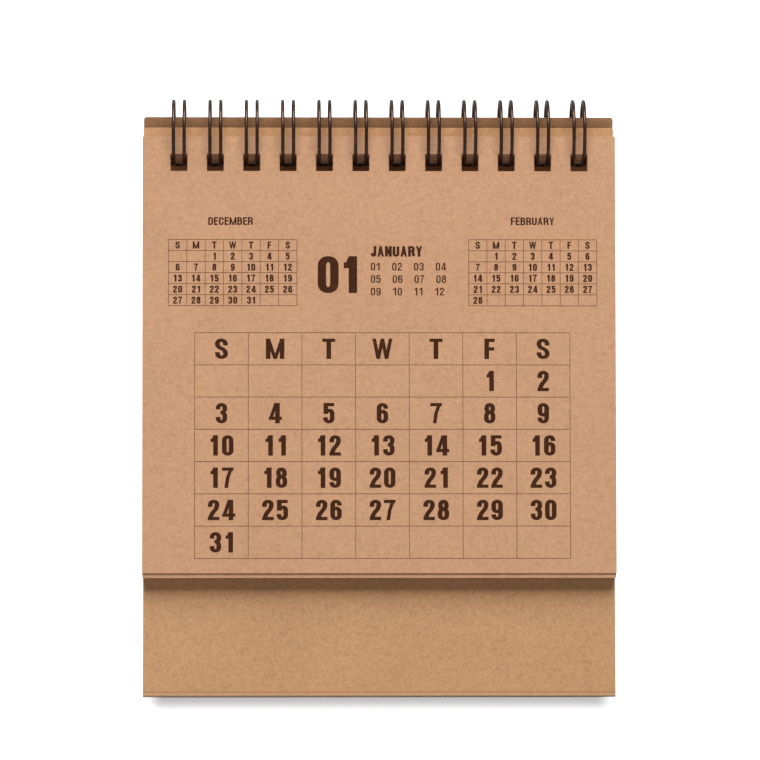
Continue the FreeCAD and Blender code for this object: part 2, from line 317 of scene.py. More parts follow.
# %% Edge finish
def cut_edge(name, pale, dark, layers):
    """The layered edge of cut pulp."""
    edge = Finish(name)
    streaks = edge.noise(layers, 2, 0.6, edge.place((0.02, 1, 1))).ramp(0.35, 0.65)
    fur = edge.noise(4500, 2).ramp(0.3, 0.7)
    colour = edge.mix(streaks * 0.6 + fur * 0.3, pale, dark)
    return edge.done(Base_Color=colour, Roughness=fur * 0.08 + 0.85,
                     Normal=edge.relief(streaks + fur, 0.01 * MM), Specular_IOR_Level=0.2)


board_edge = cut_edge("board_cut_edge", linear(132, 99, 72), linear(92, 68, 49), 5200)
# the paper edge's pale colour is partly a painted highlight, for the light that cut edges catch from above
paper_edge = cut_edge("paper_cut_edge", linear(226, 184, 150), linear(192, 146, 112), 9000)
print("edge finishes:", board_edge.name, paper_edge.name)

# %% [markdown]
# ## Lacquered wire
# The wire is steel with a dark bronze lacquer. Bending and closing the loops rubs the lacquer, so it has
# fine scratches round the wire and a few thinner spots where the metal shows through warmer and brighter.

# %% Wire finish
def lacquer():
    """Dark bronze lacquer over steel wire, lightly rubbed."""
    coat = Finish("bronze_lacquer")
    rubbed = coat.noise(420, 3, 0.6).ramp(0.55, 0.75)
    scratches = coat.noise(2600, 2, 0.6, coat.place((1, 0.15, 0.15))).ramp(0.45, 0.7)
    colour = coat.mix(rubbed * 0.7 + scratches * 0.15, linear(60, 34, 19), linear(104, 70, 50))
    return coat.done(Base_Color=colour, Metallic=0.75, Roughness=rubbed * 0.10 + scratches * 0.06 + 0.30,
                     Normal=coat.relief(scratches, 0.0015 * MM), Coat_Weight=0.35, Coat_Roughness=0.2)


bronze = lacquer()
print("wire finish:", bronze.name)

# %% [markdown]
# ## Ink
# Offset ink sinks into uncoated kraft, so it is matt and never quite black: the fibres under it show
# through as a faint mottle. The ruled lines are a screened, paler ink than the figures.

# %% Ink finish
def ink(name, solid, thin):
    """Ink that sank into the pulp: darker in the hollows, thinner on the raised fibres."""
    print_ink = Finish(name)
    fibres = print_ink.noise(1300, 3, 0.65, print_ink.place((0.3, 1, 1), (0, 0.5, 0))).ramp(0.45, 0.75)
    grain = print_ink.noise(5200, 2).ramp(0.4, 0.8)
    colour = print_ink.mix(fibres * 0.5 + grain * 0.3, solid, thin)
    return print_ink.done(Base_Color=colour, Roughness=grain * 0.1 + 0.72,
                          Normal=print_ink.relief(fibres + grain, 0.006 * MM), Specular_IOR_Level=0.15)


figure_ink = ink("figure_ink", linear(62, 31, 11), linear(86, 47, 21))
rule_ink = ink("rule_ink", linear(110, 72, 46), linear(136, 94, 64))
print("inks:", figure_ink.name, rule_ink.name)

# %% [markdown]
# ## The punched blank as Geometry Nodes
# Boards and sheets are all the same thing: a rectangle with a row of square holes. A hole could be cut
# with a Boolean, but a rule is cleaner: an outline curve and twelve small square curves are filled at
# once, so the squares stay open, and the filled face is extruded to its thickness. Four pieces of the
# calendar come from this one tree by changing its named inputs. The middle of the row of hole tops is at
# y = 0, because that is the line the sheet hangs from.

# %% Geometry tree helper
KINDS = {label: "NodeSocketInt" for label in ("count", "columns", "rows", "seed")}
KINDS |= {"shape": "NodeSocketObject", "face": "NodeSocketMaterial", "edge": "NodeSocketMaterial"}


class Recipe(Nodes):
    """A geometry tree with named inputs."""

    def __init__(self, name, *labels):
        super().__init__(bpy.data.node_groups.new(name, "GeometryNodeTree"))
        for label in labels:
            kind = KINDS.get(label, "NodeSocketFloat")
            self.tree.interface.new_socket(label, in_out="INPUT", socket_type=kind)
        self.tree.interface.new_socket("Geometry", in_out="OUTPUT", socket_type="NodeSocketGeometry")
        self.given = self.tree.nodes.new("NodeGroupInput").outputs

    def __getitem__(self, label):
        return Link(self, self.given[label])

    def row(self, count, step, start=None):
        """Points in a row along x."""
        inputs = {"Count": count, "Offset": self.vector(step)}
        return self.node("GeometryNodeMeshLine", None, inputs | ({"Start Location": start} if start else {}))

    def rounded_outline(self, width, height, steps, radius):
        """A rectangle's outline with rounded corners."""
        sharp = self.node("GeometryNodeCurvePrimitiveQuadrilateral", None, {"Width": width, "Height": height})
        return self.node("GeometryNodeFilletCurve", {"mode": "POLY"},
                         {"Curve": sharp, "Count": steps, "Radius": radius})

    def repeat(self, points, instance):
        return self.node("GeometryNodeInstanceOnPoints", None, {"Points": points, "Instance": instance})

    def close(self, geometry, edge_faces=None):
        """Ends the tree in Realize Instances and Set Material."""
        shown = self.node("GeometryNodeRealizeInstances", None, {"Geometry": geometry})
        shown = self.node("GeometryNodeSetMaterial", None, {"Geometry": shown, "Material": self["face"]})
        if edge_faces:
            shown = self.node("GeometryNodeSetMaterial", None,
                              {"Geometry": shown, "Selection": edge_faces, "Material": self["edge"]})
        self.feed(self.tree.nodes.new("NodeGroupOutput").inputs[0], shown)
        return self.tree


def input_names(tree):
    """The tree's named inputs and the identifiers of their sockets."""
    return {item.name: item.identifier for item in tree.interface.items_tree if item.in_out == "INPUT"}


def grow(name, tree, **sizes):
    """A piece made by a tree from the sizes, as a plain mesh."""
    piece = add_object(name, bpy.data.meshes.new(name))
    modifier = piece.modifiers.new(tree.name, "NODES")
    modifier.node_group = tree
    sockets = input_names(tree)
    for label, size in sizes.items():
        modifier[sockets[label]] = size
    return bake(piece)


# %% The punched blank
def punched_blank():
    """A rectangle with a row of square holes, filled and extruded."""
    r = Recipe("punched_blank", "width", "height", "margin", "thickness", "top_corner", "foot_corner",
               "hole", "hole_corner", "pitch", "count", "face", "edge")
    above = r.node("GeometryNodeInputPosition").part(1).math("GREATER_THAN", 0.0)
    radius = above * r["top_corner"] + (1 - above) * r["foot_corner"]
    outline = r.rounded_outline(r["width"], r["height"], 8, radius)
    outline = r.node("GeometryNodeTransform", None,
                     {"Geometry": outline, "Translation": r.vector(y=r["margin"] - r["height"] / 2)})
    square = r.rounded_outline(r["hole"], r["hole"], 3, r["hole_corner"])
    first = r.vector((1 - r["count"]) * r["pitch"] / 2, r["hole"] / -2)
    holes = r.repeat(r.row(r["count"], r["pitch"], first), square)
    holes = r.node("GeometryNodeRealizeInstances", None, {"Geometry": holes})
    both = r.node("GeometryNodeJoinGeometry", None, {"Geometry": [holes, outline]})
    flat = r.node("GeometryNodeFillCurve", {"mode": "TRIANGLES"}, {"Curve": both})
    raised = r.node("GeometryNodeExtrudeMesh", {"mode": "FACES"},
                    {"Mesh": flat, "Offset Scale": r["thickness"], "Individual": False})
    sides = raised.other("Side")
    under = r.node("GeometryNodeFlipFaces", None, {"Mesh": flat})
    solid = r.node("GeometryNodeJoinGeometry", None, {"Geometry": [under, raised]})
    return r.close(r.node("GeometryNodeMergeByDistance", None, {"Geometry": solid, "Distance": 1e-6}), sides)


blank = punched_blank()
punching = {"hole": HOLE, "hole_corner": HOLE_CORNER, "pitch": PITCH, "count": LOOPS}
print("the blank's inputs:", ", ".join(input_names(blank)))

# %% [markdown]
# ## The stand
# On the bench the stand is one strip of board, punched at both ends and folded twice over a scored line.
# It could be bent from a flat grid, but the boards stay flat, so only the folds need rows of faces: two
# punched blanks are leaned into place, and a strip that runs round the front fold, along the base and
# round the back fold joins them. A scored fold is crisp: its outside is rounded by half the board's
# thickness and its inside is nearly a sharp corner, so the two skins bend about different centres. Merging
# the shared edges makes one closed skin, and a small bevel then takes the knife edge off every cut.

# %% The base and its two folds
def fold_spread(lean):
    """How far a fold's rounding reaches from the sharp corner, for each unit of its radius."""
    return math.tan((math.pi / 2 + lean) / 2)


def fold_line(skin, radius, steps=8):
    """From the front board's end round its fold, along the base, round the back fold and up again."""
    line = []
    for side, lean in ((-1, FRONT_LEAN), (1, BACK_LEAN)):
        spread = fold_spread(lean)
        outward = Vector((0, side * math.cos(lean), math.sin(lean)))
        upward = Vector((0, -side * math.sin(lean), math.cos(lean)))
        corner = Vector((0, side * BASE_DEPTH / 2, 0))
        centre = Vector((0, corner.y - side * (skin + radius) * spread, skin + radius))
        half = [corner + upward * FOLD_REACH * spread - outward * skin]
        for step in range(steps + 1):
            angle = lean - (math.pi / 2 + lean) * step / steps
            half.append(centre + radius * Vector((0, side * math.cos(angle), math.sin(angle))))
        line += half if side < 0 else half[::-1]
    return line


def folded_strip(width):
    """The skin of the base and folds, open where the boards join it; its cut sides take material 1."""
    strip = bmesh.new()
    rails = []
    for skin, radius in ((0.0, FOLD_OUTSIDE), (BOARD, FOLD_INSIDE)):
        for x in (-width / 2, width / 2):
            rails.append([strip.verts.new(point + Vector((x, 0, 0))) for point in fold_line(skin, radius)])
    out_left, out_right, in_left, in_right = rails
    for first, second, cut in ((out_left, out_right, 0), (in_right, in_left, 0),
                               (in_left, out_left, 1), (out_right, in_right, 1)):
        for step in range(len(first) - 1):
            corners = (first[step], first[step + 1], second[step + 1], second[step])
            strip.faces.new(corners).material_index = cut
    return strip


# %% The stand
def board_height(top, side, lean, face):
    """From a board's top edge down to where its fold begins."""
    foot = math.hypot(BASE_DEPTH / 2 - side * AXIS.y, AXIS.z)
    return top + math.sqrt(foot ** 2 - face ** 2) - FOLD_REACH * fold_spread(lean)


def stand_board(name, top, face, hole_top, side, lean, matrix):
    """One punched board of the stand, leaned into place and open at its foot."""
    height = board_height(top, side, lean, face)
    piece = grow(name, blank, width=BOARD_WIDTH, height=height, margin=top - hole_top, thickness=BOARD,
                 top_corner=BOARD_CORNER, foot_corner=0.0, face=board, edge=board_edge, **punching)
    flat = bmesh.new()
    flat.from_mesh(piece.data)
    foot_faces = [f for f in flat.faces if f.calc_center_median().y < top - hole_top - height + 1e-6]
    bmesh.ops.delete(flat, geom=foot_faces, context="FACES")
    for part in flat.faces:
        part.material_index = 0 if abs(part.normal.z) > 0.5 else 1
    bmesh.ops.transform(flat, matrix=matrix(face - BOARD, hole_top), verts=flat.verts)
    flat.to_mesh(piece.data)
    flat.free()
    return piece


front_board = stand_board("front_board", FRONT_TOP, FRONT_FACE, FRONT_HOLE_TOP, -1, FRONT_LEAN, lean_matrix)
back_board = stand_board("back_board", BACK_TOP, BACK_FACE, BACK_HOLE_TOP, 1, BACK_LEAN, back_matrix)

skin = folded_strip(BOARD_WIDTH)
for half in (front_board, back_board):
    skin.from_mesh(half.data)
    bpy.data.objects.remove(half)
bmesh.ops.remove_doubles(skin, verts=skin.verts, dist=2e-6)
bmesh.ops.recalc_face_normals(skin, faces=skin.faces)
open_edges = sum(1 for edge in skin.edges if not edge.is_manifold)
for face in skin.faces:
    face.smooth = True
stand_mesh = bpy.data.meshes.new("kraft_stand")
skin.to_mesh(stand_mesh)
skin.free()
for finish in (board, board_edge):
    stand_mesh.materials.append(finish)
stand = add_object("kraft_stand", stand_mesh)
fold_light_and_cut_bevel = stand.modifiers.new("worn_cuts", "BEVEL")
fold_light_and_cut_bevel.width, fold_light_and_cut_bevel.segments, fold_light_and_cut_bevel.limit_method, fold_light_and_cut_bevel.angle_limit = CUT_ROUNDING, 2, "ANGLE", math.radians(50)
stand.modifiers.new("flat_faces", "WEIGHTED_NORMAL")
bake(stand)
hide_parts("stand")
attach(stand, "stand")
print("stand:", len(stand.data.polygons), "faces,", open_edges, "open edges before the bevel")

# %% [markdown]
# ## Twelve sheets on the wire
# The sheets hang by the tops of their holes, and the wire curves away under them, so the holes of a sheet
# further back lie a little lower: their place follows from the ring's inside radius and the sheet's depth
# alone. The pile behind the front sheet is knocked flush at its lower edge, a millimetre below the front
# sheet's. Such a rule suits Geometry Nodes: one blank is instanced eleven times, each hung by its index
# and fitted between its hanging line and the common lower edge, and a seeded wander of a few hundredths
# of a millimetre keeps the pile from looking machined. The front sheet is a piece of its own, because it
# turns over.

# %% The pile of sheets
def hang_height(depth):
    """How far below the axis the hole tops hang, for a sheet whose front face is that far from it."""
    return -math.sqrt(HANG_RADIUS ** 2 - depth ** 2)


def sheet_pile():
    """Copies of one sheet, each hung at the height that its depth gives it, with their feet flush."""
    r = Recipe("sheet_pile", "shape", "count", "seed", "back", "step", "ring", "foot", "length", "wander",
               "face", "edge")
    depth = r.node("GeometryNodeInputIndex") * r["step"] + r["back"]
    reach = depth + r["step"]
    height = (r["ring"] * r["ring"] - reach * reach).math("SQRT") * -1
    astray, askew, low = [r.node("FunctionNodeRandomValue", None, {2: -1.0, 3: 1.0, 8: r["seed"] + n}, 1)
                          for n in range(3)]
    stretch = (height - r["foot"] + low * r["wander"] * 0.4) / r["length"]
    place = r.vector(astray * r["wander"], height, depth)
    spots = r.node("GeometryNodeSetPosition", None, {"Geometry": r.row(r["count"], 0.0), "Position": place})
    sheet = r.node("GeometryNodeObjectInfo", None, {"Object": r["shape"]}).other("Geometry")
    hung = r.node("GeometryNodeInstanceOnPoints", None,
                  {"Points": spots, "Instance": sheet, "Rotation": r.vector(z=askew * r["wander"] * 6),
                   "Scale": r.vector(1.0, stretch, 1.0)})
    facing = r.node("GeometryNodeInputNormal").part(2).math("ABSOLUTE")
    return r.close(hung, facing.math("LESS_THAN", 0.5))


def sheet_blank(name, width, margin, thickness):
    """One punched sheet, flat, with its hole tops on y = 0."""
    return grow(name, blank, width=width, height=SHEET_HEIGHT, margin=margin, thickness=thickness,
                top_corner=PAPER_CORNER, foot_corner=PAPER_CORNER, face=paper, edge=paper_edge, **punching)


spare = sheet_blank("spare_sheet", SHEET_WIDTH - PILE_INSET, PILE_MARGIN, PILE_SHEET)
pile = grow("sheets_behind", sheet_pile(), shape=spare, count=SHEETS_BEHIND, seed=7, back=PILE_BACK,
            step=PAPER, ring=HANG_RADIUS, foot=PILE_FOOT, length=SHEET_HEIGHT - PILE_MARGIN,
            wander=WANDER, face=paper, edge=paper_edge)
bpy.data.objects.remove(spare)
pile.data.transform(lean_matrix())
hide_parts("page_block")
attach(pile, "stand")
print("sheets behind:", SHEETS_BEHIND, "with", len(pile.data.polygons), "faces")

# %% The front sheet
front_hang = hang_height(FRONT_SHEET_BACK + PAPER)
front_sheet = sheet_blank("january_sheet", SHEET_WIDTH, SHEET_MARGIN, PAPER)
front_sheet.data.transform(lean_matrix(FRONT_SHEET_BACK, front_hang))
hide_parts("front_sheet")
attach(front_sheet, "front_sheet")
print("front sheet hangs", round(-front_hang / MM, 2), "mm below the axis")

# %% [markdown]
# ## The comb of double loops
# Twin-loop wire is one wire bent into a comb: up one side of a finger, a round turn at its tip, down the
# other side, and across to the next finger. Once closed, every finger is a pair of rings. Only one finger
# is drawn, as a line given by angle and distance round the ring; Geometry Nodes repeat it along the row,
# weld the ends, trim the two outer ones and sweep a round section along the whole comb.

# %% One finger of the comb
def on_ring(x, along, angle):
    """A point that far along the ring's tangent at an angle from the bottom round to the back."""
    return Matrix.Rotation(angle, 3, "X") @ Vector((x, along, -RING))


def bend_line(centre, radius, first, last, steps, angle):
    """A bend of the wire in the ring's tangent plane; directions are in degrees from +x."""
    turns = [math.radians(first + (last - first) * step / steps) for step in range(steps + 1)]
    return [on_ring(centre + radius * math.cos(a), radius * math.sin(a), angle) for a in turns]


def finger_line(ring_steps=72):
    """The middle line of one finger, from halfway to its left neighbour to halfway to its right one."""
    half = LOOP_GAP / 2
    arc = [BASE_ANGLE + (TIP_ANGLE - BASE_ANGLE) * step / ring_steps for step in range(1, ring_steps)]
    line = [on_ring(-PITCH / 2, -BEND, BASE_ANGLE)]
    line += bend_line(-half - BEND, BEND, -90, 0, 6, BASE_ANGLE)
    line += [on_ring(-half, 0, angle) for angle in arc]
    line += bend_line(0, half, 180, 0, 14, TIP_ANGLE)
    line += [on_ring(half, 0, angle) for angle in reversed(arc)]
    line += bend_line(half + BEND, BEND, 180, 270, 6, BASE_ANGLE)
    return line + [on_ring(PITCH / 2, -BEND, BASE_ANGLE)]


finger_points = finger_line()
finger_mesh = bpy.data.meshes.new("finger")
finger_mesh.from_pydata(finger_points, [(n, n + 1) for n in range(len(finger_points) - 1)], [])
finger = add_object("finger", finger_mesh)
print("one finger has", len(finger_points), "points")


# %% The whole comb
def loop_comb():
    """Fingers in a row, welded to one line and swept with a round section."""
    r = Recipe("loop_comb", "shape", "count", "pitch", "wire", "cut_off", "face")
    one = r.node("GeometryNodeObjectInfo", None, {"Object": r["shape"]}).other("Geometry")
    fingers = r.repeat(r.row(r["count"], r["pitch"], r.vector((1 - r["count"]) * r["pitch"] / 2)), one)
    fingers = r.node("GeometryNodeRealizeInstances", None, {"Geometry": fingers})
    welded = r.node("GeometryNodeMergeByDistance", None, {"Geometry": fingers, "Distance": 1e-5})
    line = r.node("GeometryNodeMeshToCurve", None, {"Mesh": welded})
    length = r.node("GeometryNodeCurveLength", None, {"Curve": line})
    line = r.node("GeometryNodeTrimCurve", {"mode": "LENGTH"},
                  {"Curve": line, 4: r["cut_off"], 5: length - r["cut_off"]})
    section = r.node("GeometryNodeCurvePrimitiveCircle", None, {"Resolution": 12, "Radius": r["wire"] / 2})
    tube = r.node("GeometryNodeCurveToMesh", None,
                  {"Curve": line, "Profile Curve": section, "Fill Caps": True})
    return r.close(r.node("GeometryNodeSetShadeSmooth", None, {"Geometry": tube}))


comb = grow("loop_wire", loop_comb(), shape=finger, count=LOOPS, pitch=PITCH, wire=WIRE,
            cut_off=LOOPS * PITCH / 2 - WIRE_END, face=bronze)
bpy.data.objects.remove(finger)
comb.data.transform(Matrix.Translation(AXIS))
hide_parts("binding_wire")
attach(comb, "stand")
print("comb:", LOOPS, "double loops,", len(comb.data.polygons), "faces")

# %% [markdown]
# ## Letters drawn with a broad nib
# The print could be set in a font, but the calendar's condensed grotesque has straight-sided figures and
# a 1 with no foot. It is simple enough to draw: each figure is a few strokes in a box from 0 to 1, and a
# nib that is wider than it is tall thickens them, so stems come out heavier than bars as in real type.
# Four kinds of stroke are enough. A bowl is a rounded line, a ring a closed one, a stem or bar a
# rectangle, and a slant a slanting stroke with flat ends.

# %% Strokes of the figures and capitals
def bowl(*points):
    return ("bowl", points)


def ring(*points):
    return ("ring", points)


def stem(u, low=0, high=1):
    return ("straight", ((u, low), (u, high)))


def bar(v, left=0, right=1):
    return ("straight", ((left, v), (right, v)))


def slant(*ends):
    return ("slant", ends)


BOX = ((0, 0), (1, 0), (1, 1), (0, 1))
GLYPHS = {
    "0": [ring(*BOX)],
    "1": [stem(1), bowl((-0.3, 0.80), (0.55, 0.80), (0.9, 1.04))],
    "2": [bowl((0, 0.68), (0, 1), (1, 1), (1, 0.62), (0.12, 0.24), (0.04, 0)), bar(0)],
    "3": [bowl((0, 0.72), (0, 1), (1, 1), (1, 0.54), (0.35, 0.54)),
          bowl((0.35, 0.54), (1, 0.54), (1, 0), (0, 0), (0, 0.28))],
    "4": [stem(0.8), bar(0.2, 0, 1.05), slant((-0.08, 0.2), (0.62, 1))],
    "5": [bar(1, 0.1, 0.95), stem(0.06, 0.55),
          bowl((0.06, 0.52), (0.3, 0.66), (1, 0.66), (1, 0), (0, 0), (0, 0.26))],
    "6": [ring((0, 0), (1, 0), (1, 0.6), (0, 0.6)), bowl((0, 0.3), (0, 1), (1, 1), (1, 0.76))],
    "7": [bar(1), slant((0.28, 0), (0.5, 0.5)), slant((0.5, 0.5), (1, 0.96))],
    "8": [ring((0.06, 0.54), (0.94, 0.54), (0.94, 1), (0.06, 1)), ring((0, 0), (1, 0), (1, 0.54), (0, 0.54))],
    "9": [ring((0, 0.4), (1, 0.4), (1, 1), (0, 1)), bowl((1, 0.7), (1, 0), (0, 0), (0, 0.24))],
    "A": [slant((0, 0), (0.5, 1)), slant((1, 0), (0.5, 1)), bar(0.26, 0.28, 0.72)],
    "B": [stem(0), bowl((0, 1), (0.94, 1), (0.94, 0.54), (0, 0.54)),
          bowl((0, 0.54), (1, 0.54), (1, 0), (0, 0))],
    "C": [bowl((1, 0.66), (1, 1), (0, 1), (0, 0), (1, 0), (1, 0.34))],
    "D": [stem(0), bowl((0, 1), (1, 1), (1, 0), (0, 0))],
    "E": [stem(0), bar(0), bar(0.53, 0, 0.9), bar(1)],
    "F": [stem(0), bar(0.5, 0, 0.9), bar(1)],
    "H": [stem(0), stem(1), bar(0.53)],
    "J": [stem(1, 0.3), bowl((1, 0.4), (1, 0), (0, 0), (0, 0.3))],
    "M": [stem(0), stem(1), slant((0.5, 0), (0, 1)), slant((0.5, 0), (1, 1))],
    "N": [stem(0), stem(1), slant((1, 0), (0, 1))],
    "R": [stem(0), bowl((0, 1), (1, 1), (1, 0.5), (0, 0.5)), bowl((0.4, 0.5), (0.96, 0.5), (1, -0.07))],
    "S": [bowl((1, 0.7), (1, 1), (0, 1), (0, 0.6), (1, 0.42), (1, 0), (0, 0), (0, 0.3))],
    "T": [stem(0.5), bar(1)],
    "U": [bowl((0, 1.07), (0, 0), (1, 0), (1, 1.07))],
    "W": [slant((0.25, 0), (0, 1)), slant((0.25, 0), (0.5, 1)),
          slant((0.75, 0), (0.5, 1)), slant((0.75, 0), (1, 1))],
    "Y": [stem(0.5, 0, 0.4), slant((0.5, 0.4), (0, 1)), slant((0.5, 0.4), (1, 1))],
}
WIDTHS = {"1": 0.42, "4": 0.62, "A": 0.67, "E": 0.53, "F": 0.51, "J": 0.52, "M": 0.91, "W": 1.04}
WIDTHS |= {letter: 0.64 for letter in "BCDHNRSTUY"}
print(len(GLYPHS), "figures and capitals")

# %% [markdown]
# The nib is an ellipse, so a stroke is thickened in a squeezed space where the nib is round, and then
# stretched back. Corners of a bowl are rounded first, by a cubic curve between two cuts. Slanting strokes
# are thinner than stems, as in real type, or the counters of a 4, an M and a W would fill with ink.

# %% The pen
LIFT, STROKE_STEP = 0.015 * MM, 0.002 * MM
ROUND_STEPS, HANDLE, BOWL_CORNER, SLANT_SHARE = 6, 0.62, 0.56, 0.78
PLAIN_WIDTH, AFTER_ONE, BEFORE_ONE = 0.565, 0.06, 0.02


def cubic(start, corner, end, share):
    """A point on the rounding of a corner, whose handles reach most of the way to it."""
    first, second = start.lerp(corner, HANDLE), end.lerp(corner, HANDLE)
    rest = 1 - share
    return (start * rest ** 3 + first * 3 * rest ** 2 * share
            + second * 3 * rest * share ** 2 + end * share ** 3)


def rounded(points, radius, closed):
    """The line through the points with its corners rounded."""
    line = []
    count = len(points)
    for n, corner in enumerate(points):
        if not closed and n in (0, count - 1):
            line.append(corner)
            continue
        before, after = points[n - 1], points[(n + 1) % count]
        cuts = []
        for other, is_end in ((before, not closed and n == 1), (after, not closed and n == count - 2)):
            length = (other - corner).length
            cuts.append(corner + (other - corner) * min(radius / length, 0.98 if is_end else 0.5))
        line += [cubic(cuts[0], corner, cuts[1], step / ROUND_STEPS) for step in range(ROUND_STEPS + 1)]
    return line


def ribbon(line, nib, closed):
    """The two sides of a line thickened with an elliptical nib."""
    thin = [Vector((point.x / nib.x, point.y / nib.y)) for point in line]
    thin = [point for n, point in enumerate(thin) if n == 0 or (point - thin[n - 1]).length > 1e-4]
    if closed and (thin[0] - thin[-1]).length < 1e-4:
        thin.pop()
    sides = ([], [])
    for n, point in enumerate(thin):
        arms = []
        if closed or n > 0:
            arms.append(point - thin[n - 1])
        if closed or n < len(thin) - 1:
            arms.append(thin[(n + 1) % len(thin)] - point)
        normals = [Vector((-arm.y, arm.x)).normalized() for arm in arms]
        offset = sum(normals, Vector((0, 0))) / (1 + (normals[0].dot(normals[1]) if len(normals) == 2 else 0))
        for side, sign in zip(sides, (0.5, -0.5)):
            moved = point + offset * sign
            side.append(Vector((moved.x * nib.x, moved.y * nib.y)))
    return sides


class Pen:
    """Lays strokes of ink down as flat faces, each a hair above the one before."""

    def __init__(self):
        self.mesh = bmesh.new()

    def strip(self, left, right, closed, height):
        """Faces between two sides of a stroke, turned to face the reader."""
        rows = [[self.mesh.verts.new((point.x, point.y, height)) for point in side] for side in (left, right)]
        count = len(left)
        for n in range(count if closed else count - 1):
            after = (n + 1) % count
            face = self.mesh.faces.new((rows[0][n], rows[1][n], rows[1][after], rows[0][after]))
            face.normal_update()
            if face.normal.z < 0:
                face.normal_flip()

    def glyph(self, letter, corner, size, nib):
        """One figure whose box has its low left corner at a point."""
        span = Vector((size.x - nib.x, size.y - nib.y))
        for layer, (kind, ends) in enumerate(GLYPHS[letter]):
            height = LIFT + layer * STROKE_STEP
            centres = [corner + nib / 2 + Vector((u * span.x, v * span.y)) for u, v in ends]
            if kind in ("bowl", "ring"):
                closed = kind == "ring"
                line = rounded(centres, BOWL_CORNER * span.x, closed)
                self.strip(*ribbon(line, nib, closed), closed, height)
                continue
            low, high = centres
            if kind == "straight":
                self.box(low.x - nib.x / 2, low.y - nib.y / 2, high.x + nib.x / 2, high.y + nib.y / 2, height)
                continue
            low.y, high.y = [corner.y + v * size.y for u, v in ends]
            half = Vector((nib.x * SLANT_SHARE / 2, 0))
            self.strip([low - half, high - half], [low + half, high + half], False, height)

    def box(self, left, low, right, high, height=LIFT):
        """A plain rectangle of ink."""
        self.strip([Vector((left, low)), Vector((left, high))], [Vector((right, low)), Vector((right, high))],
                   False, height)

    def write(self, text, x, y, tall, nib_shares, tracking=0.17, centred=True):
        """A line of text with its feet on y, from x on or with its middle at x."""
        widths = [WIDTHS.get(letter, PLAIN_WIDTH) for letter in text]
        gaps = [tracking + (AFTER_ONE if before == "1" else 0) + (BEFORE_ONE if after == "1" else 0)
                for before, after in zip(text, text[1:])]
        if centred:
            x -= (sum(widths) + sum(gaps)) * tall / 2
        nib = Vector(nib_shares) * tall
        for letter, width, gap in zip(text, widths, gaps + [0]):
            if letter != " ":
                self.glyph(letter, Vector((x, y)), Vector((width * tall, tall)), nib)
            x += (width + gap) * tall


def printed(flat, name, finish, matrix):
    """Flat ink as a piece on a sheet."""
    mesh = bpy.data.meshes.new(name)
    flat.to_mesh(mesh)
    flat.free()
    mesh.materials.append(finish)
    mesh.transform(matrix)
    return add_object(name, mesh)


# %% [markdown]
# ## The month table as Geometry Nodes
# A table's hairlines repeat by a rule too: one row of upright lines and one of level lines, each an
# instanced strip. The same tree rules the large table and both small ones.

# %% The ruled table
def ruled_table():
    """Upright and level hairlines; the table's top left corner is the origin."""
    r = Recipe("ruled_table", "columns", "rows", "cell_width", "cell_height", "line", "lift", "face")
    wide, tall = r["columns"] * r["cell_width"], r["rows"] * r["cell_height"]
    upright = r.node("GeometryNodeMeshGrid", None,
                     {"Size X": r["line"], "Size Y": tall + r["line"], "Vertices X": 2, "Vertices Y": 2})
    level = r.node("GeometryNodeMeshGrid", None,
                   {"Size X": wide + r["line"], "Size Y": r["line"], "Vertices X": 2, "Vertices Y": 2})
    across = r.row(r["columns"] + 1, r["cell_width"], r.vector(0.0, tall / -2, r["lift"]))
    down = r.node("GeometryNodeMeshLine", None,
                  {"Count": r["rows"] + 1, "Offset": r.vector(y=r["cell_height"] * -1),
                   "Start Location": r.vector(wide / 2, 0.0, r["lift"] + STROKE_STEP)})
    return r.close(r.node("GeometryNodeJoinGeometry", None,
                          {"Geometry": [r.repeat(across, upright), r.repeat(down, level)]}))


table_tree = ruled_table()
print("the table's inputs:", ", ".join(input_names(table_tree)))

# %% [markdown]
# ## Setting the page
# A page holds the month's number and name, the large table of dates, and small tables of the months
# before and after. Dates are worked out, not typed: a month is given by its number of days and the
# weekday it starts on. Under the month's name stands a plain index of the twelve months by number.

# %% A month's dates
WEEK = "SMTWTFS"
BOLD, HEAVY, TITLE = (0.23, 0.16), (0.228, 0.16), (0.26, 0.18)
SMALL, NAME, LIGHT = (0.235, 0.178), (0.212, 0.16), (0.17, 0.13)
HAIRLINE = 0.13 * MM
MONTHS = {12: ("DECEMBER", 31, 2), 1: ("JANUARY", 31, 5), 2: ("FEBRUARY", 28, 1), 3: ("MARCH", 31, 1)}
PAGE_LEFT = -SHEET_WIDTH / 2


def set_dates(pen, month, left, down, cell, tall, nib):
    """Weekday initials and dates in the middle of their cells."""
    days, first = MONTHS[month][1:]
    entries = [(letter, column, 0) for column, letter in enumerate(WEEK)]
    entries += [(str(day), (first + day - 1) % 7, 1 + (first + day - 1) // 7) for day in range(1, days + 1)]
    for text, column, row in entries:
        x = left + (column + 0.5) * cell.x
        y = SHEET_MARGIN - down - (row + 0.5) * cell.y - tall / 2
        pen.write(text, x, y, tall, nib, 0.14)


def set_table(pen, month, left, down, cell, rows, tall, nib):
    """One month's table: its dates on the pen, and its ruling as an object, both flat."""
    set_dates(pen, month, left, down, cell, tall, nib)
    ruling = grow("ruling", table_tree, columns=7, rows=rows, cell_width=cell.x, cell_height=cell.y,
                  line=HAIRLINE, lift=LIFT - STROKE_STEP * 2, face=rule_ink)
    ruling.data.transform(Matrix.Translation((left, SHEET_MARGIN - down, 0)))
    return ruling


